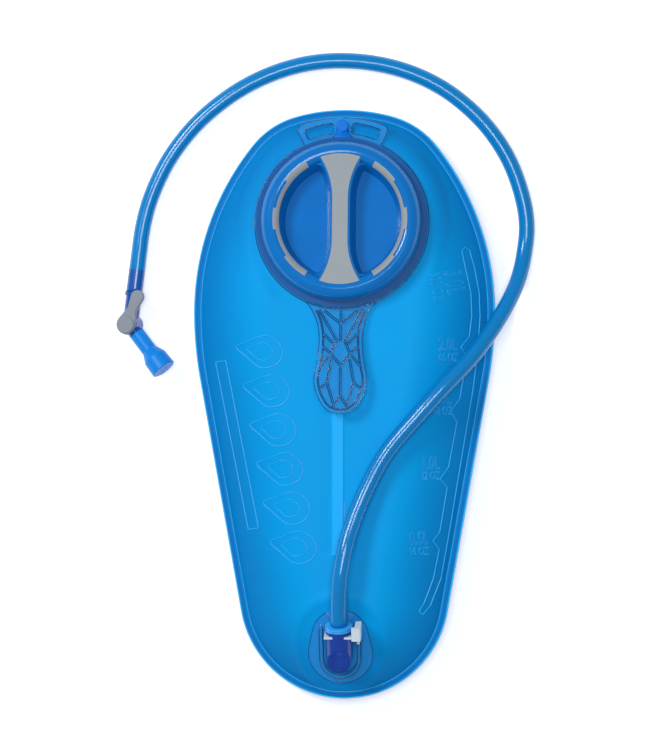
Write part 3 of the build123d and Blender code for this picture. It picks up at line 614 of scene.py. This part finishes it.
def drop_points(cx, cy, radius_x, radius_y, count, tip):
    """A closed drop: an ellipse drawn out to a tip at one end."""
    points = []
    c, s = math.cos(math.radians(DROP_TURN)), math.sin(math.radians(DROP_TURN))
    for i in range(count):
        a = 2 * math.pi * i / count
        stretch = 1 + tip * max(math.cos(a), 0) ** 6
        x = radius_x * math.sin(a) * (1 - 0.35 * max(math.cos(a), 0))
        y = radius_y * math.cos(a) * stretch
        points.append((cx + x * c - y * s, cy + x * s + y * c))
    return points


def water_motif():
    """Raised drops and a long bar down the left side."""
    for i in range(DROPS):
        t = i / (DROPS - 1)
        cx = DROP_TOP[0] + DROP_STEP[0] * t
        cy = DROP_TOP[1] + DROP_STEP[1] * t
        bead(f"drop_{i}", drop_points(cx, cy, 11.0, 13.5, 60, 0.4), LINE_WIDE)
        bead(f"drop_inner_{i}", drop_points(cx - 1, cy, 6.0, 7.6, 44, 0.3), LINE_FINE)
    bead("long_bar", LONG_BAR, LINE_WIDE)


def baffle_strip():
    """The strip where the inner wall is welded to the front, painted lighter than the film as a highlight on
    its raised band.
    """
    rows, columns = 100, 8
    verts = []
    for i in range(rows + 1):
        y = BAFFLE_Y[0] + (BAFFLE_Y[1] - BAFFLE_Y[0]) * i / rows
        for j in range(columns + 1):
            x = BAFFLE_X + (BAFFLE_HALF - 0.5) * (2 * j / columns - 1)
            edge = 0.22 * (1 - abs(2 * j / columns - 1) ** 4) - 0.25 * bell(x, BAFFLE_X - 0.6, 0.5)
            verts.append(Vector((x, y, front_top(x, y) + edge)) * MM)
    mesh = bpy.data.meshes.new("baffle_weld")
    mesh.from_pydata(verts, [], grid_quads(rows, columns))
    strip = finish_mesh("baffle_weld", mesh)
    thicken(strip, 0.4 * MM)
    place_piece(strip, FILM_STRIP_HIGHLIGHT, "reservoir")


# ---- the drink tube ----

PLUG_ALONG, PLUG_UP = 16.2, 11.3  # mm, from the outlet's middle to the plug's collar
VALVE_AT = (-147.8, 54.5, 7.9)  # mm
VALVE_NECK = 22.5  # mm
VALVE_TURN = -7.0  # degrees
TUBE_DIAMETER = 0.0109
TUBE_BORE = 0.0069
BARB_LENGTHS = (0.014, 0.017)
BARB_SWELL = 0.00012
TUBE_SIDES = 40
TUBE_SPAN_POINTS = 14
# out of the plug, over the bag, down its right side and round its top to the shut-off valve; metres
TUBE_ROUTE = (
    (-0.0012, -0.1255, 0.0624),
    (0.0024, -0.1015, 0.0632),
    (0.0070, -0.0830, 0.0592),
    (0.0170, -0.0570, 0.0556),
    (0.0305, -0.0315, 0.0552),
    (0.0500, -0.0095, 0.0556),
    (0.0695, 0.0125, 0.0530),
    (0.0880, 0.0315, 0.0470),
    (0.1010, 0.0500, 0.0370),
    (0.1110, 0.0675, 0.0255),
    (0.1185, 0.0850, 0.0130),
    (0.1223, 0.1040, 0.0062),
    (0.1242, 0.1240, 0.0056),
    (0.1195, 0.1470, 0.0057),
    (0.1095, 0.1720, 0.0056),
    (0.0900, 0.1980, 0.0057),
    (0.0600, 0.2210, 0.0056),
    (0.0220, 0.2340, 0.0057),
    (-0.0220, 0.2355, 0.0056),
    (-0.0630, 0.2225, 0.0057),
    (-0.0970, 0.1990, 0.0056),
    (-0.1195, 0.1725, 0.0057),
    (-0.1325, 0.1470, 0.0056),
    (-0.1395, 0.1240, 0.0059),
    (-0.1426, 0.0967, 0.0079),
)


def tube_ends():
    """Where the tube leaves the plug's collar and where it meets the valve's shoulder."""
    tilt, turn = math.radians(PORT_TILT), math.radians(VALVE_TURN)
    start = Vector((
        PORT_AT[0],
        PORT_AT[1] + PLUG_ALONG * math.cos(tilt) - PLUG_UP * math.sin(tilt),
        SEAM_Z + PORT_RISE + FILM + PLUG_ALONG * math.sin(tilt) + PLUG_UP * math.cos(tilt),
    ))
    x, y, z = VALVE_AT
    end = Vector((x - VALVE_NECK * math.sin(turn), y + VALVE_NECK * math.cos(turn), z))
    return start * MM, end * MM


def tube_path(points):
    """The smooth line that the route controls, as points read from its spline."""
    curve = bpy.data.curves.new("tube_line", "CURVE")
    curve.dimensions = "3D"
    line = curve.splines.new("NURBS")
    line.points.add(len(points) - 1)
    for point, co in zip(line.points, points):
        point.co = (*co, 1)
    line.order_u = 3
    line.use_endpoint_u = True
    line.resolution_u = TUBE_SPAN_POINTS
    return [v.co.copy() for v in curve_mesh("tube_line", curve).vertices]


def hollow_tube(name, path, outer, inner):
    """A hollow hose along a path, a little swollen over the barbs at its ends."""
    sides = TUBE_SIDES
    lengths = [0.0]
    for a, b in zip(path, path[1:]):
        lengths.append(lengths[-1] + (b - a).length)
    total = lengths[-1]
    side = (path[1] - path[0]).cross(Vector((0, 0, 1))).normalized()
    verts, faces = [], []
    for i, point in enumerate(path):
        ahead = path[min(i + 1, len(path) - 1)] - path[max(i - 1, 0)]
        ahead.normalize()
        side = (side - ahead * side.dot(ahead)).normalized()
        up = ahead.cross(side)
        near = min(lengths[i] / BARB_LENGTHS[0], (total - lengths[i]) / BARB_LENGTHS[1])
        swell_out = BARB_SWELL * fade(near, 0.8, 1.3)
        for radius in (outer + swell_out, inner):
            for k in range(sides):
                a = 2 * math.pi * k / sides
                verts.append(point + side * (radius * math.cos(a)) + up * (radius * math.sin(a)))
    ring = 2 * sides
    for i in range(len(path) - 1):
        for k in range(sides):
            n = (k + 1) % sides
            a, b = i * ring, (i + 1) * ring
            faces.append((a + k, a + n, b + n, b + k))
            faces.append((a + sides + n, a + sides + k, b + sides + k, b + sides + n))
    for k in range(sides):
        n = (k + 1) % sides
        last = (len(path) - 1) * ring
        faces.append((k, sides + k, sides + n, n))
        faces.append((last + n, last + sides + n, last + sides + k, last + k))
    mesh = bpy.data.meshes.new(name)
    mesh.from_pydata(verts, [], faces)
    return finish_mesh(name, mesh)


def drink_tube():
    """The hose, with what is on its ends."""
    start, end = tube_ends()
    path = tube_path([start, *(Vector(p) for p in TUBE_ROUTE), end])
    tube = hollow_tube("drink_hose", path, TUBE_DIAMETER / 2, TUBE_BORE / 2)
    place_piece(tube, TUBE_BLUE, "hose")
    tube.data.materials.append(TUBE_DARK)
    for polygon in tube.data.polygons:
        polygon.material_index = 1 if (polygon.center - end).length < BARB_LENGTHS[1] else 0
    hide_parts("drink_tube")


# ---- the tether's strap ----


def tether_strap():
    """The strap between the peg on the tab and the lid's ring."""
    tilt = Matrix.Rotation(math.radians(-LID_TILT), 3, "X")
    centre = Vector((0, LID_Y, SEAM_Z + LID_RISE + FILM))
    verts, faces = [], []
    for i in range(STRAP_ROWS + 1):
        along = STRAP_FROM + (STRAP_TO - STRAP_FROM) * i / STRAP_ROWS
        waist = STRAP_HALF + STRAP_FLARE * fade(along, STRAP_FROM, STRAP_FLARE_END)
        if along > STRAP_ROUND_FROM:
            waist = math.sqrt(max(STRAP_HALF**2 - (along - STRAP_ROUND_FROM) ** 2, 0.4))
        crown = waist * 0.8
        for x, z in ((-waist, STRAP_LOW), (-crown, STRAP_TOP), (crown, STRAP_TOP), (waist, STRAP_LOW)):
            verts.append((centre + tilt @ Vector((x, along, z))) * MM)
    for i in range(STRAP_ROWS):
        for k in range(4):
            n = (k + 1) % 4
            a, b = i * 4, (i + 1) * 4
            faces.append((a + k, a + n, b + n, b + k))
    faces.append((3, 2, 1, 0))
    last = STRAP_ROWS * 4
    faces.append((last, last + 1, last + 2, last + 3))
    mesh = bpy.data.meshes.new("tether_strap_soft")
    mesh.from_pydata(verts, [], faces)
    strap = finish_mesh("tether_strap_soft", mesh)
    strap.data.materials.append(TETHER_BLUE)
    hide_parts("tether_strap")
    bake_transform(strap)


def button_coil():
    """The button's spring, as its own copy of the CAD mesh on the reservoir."""
    coil = link_new("button_coil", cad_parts["button_spring"].data.copy())
    place_piece(coil, STEEL, "reservoir")
    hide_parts("button_spring")
    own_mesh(coil)


# ---- stage ----


def stage():
    """Floor, camera and light."""
    corners = [(-1, -1), (1, -1), (1, 1), (-1, 1)]
    floor_mesh = bpy.data.meshes.new("floor")
    verts = [(x * FLOOR_HALF, y * FLOOR_HALF, FLOOR_Z) for x, y in corners]
    floor_mesh.from_pydata(verts, [], [(0, 1, 2, 3)])
    floor_mesh.materials.append(surface(
        "floor_white", rgb(250, 250, 250), 0.8, 0.0,
        Specular_IOR_Level=0.1, Emission_Color=(1, 1, 1, 1), Emission_Strength=FLOOR_GLOW,
    ))
    link_new("floor", floor_mesh)

    lens = bpy.data.cameras.new("camera")
    lens.sensor_width = SENSOR_WIDTH
    lens.lens = SENSOR_WIDTH * CAMERA_FAR / VIEW_HEIGHT
    lens.clip_end = 20.0
    camera = link_new("camera", lens)
    lean = math.radians(CAMERA_LEAN)
    camera.location = Vector(LOOK_AT) + Vector((math.sin(lean), 0, math.cos(lean))) * CAMERA_FAR
    camera.rotation_euler = (0, lean, 0)
    bpy.context.scene.camera = camera

    world = bpy.data.worlds.new("studio")
    bpy.context.scene.world = world
    world.use_nodes = True
    sky = world.node_tree.nodes["Background"].inputs
    sky["Color"].default_value = (0.95, 0.97, 1.0, 1)
    sky["Strength"].default_value = WORLD_GLOW

    for name, place, size, power in LAMPS:
        lamp = bpy.data.lights.new(name, "AREA")
        lamp.shape = "DISK"
        lamp.size = size
        lamp.energy = power
        light = link_new(name, lamp)
        light.location = place
        light.rotation_euler = Vector(place).to_track_quat("Z", "Y").to_euler()
    bpy.context.scene.view_settings.view_transform = "Standard"


stage()
drink_tube()
dress_nodes()
film_walls()
volume_scale()
water_motif()
seam_lines()
edge_lines("collar_handle", 0.24)
edge_lines("outlet_flange", 0.2)
baffle_strip()
tether_strap()
button_coil()
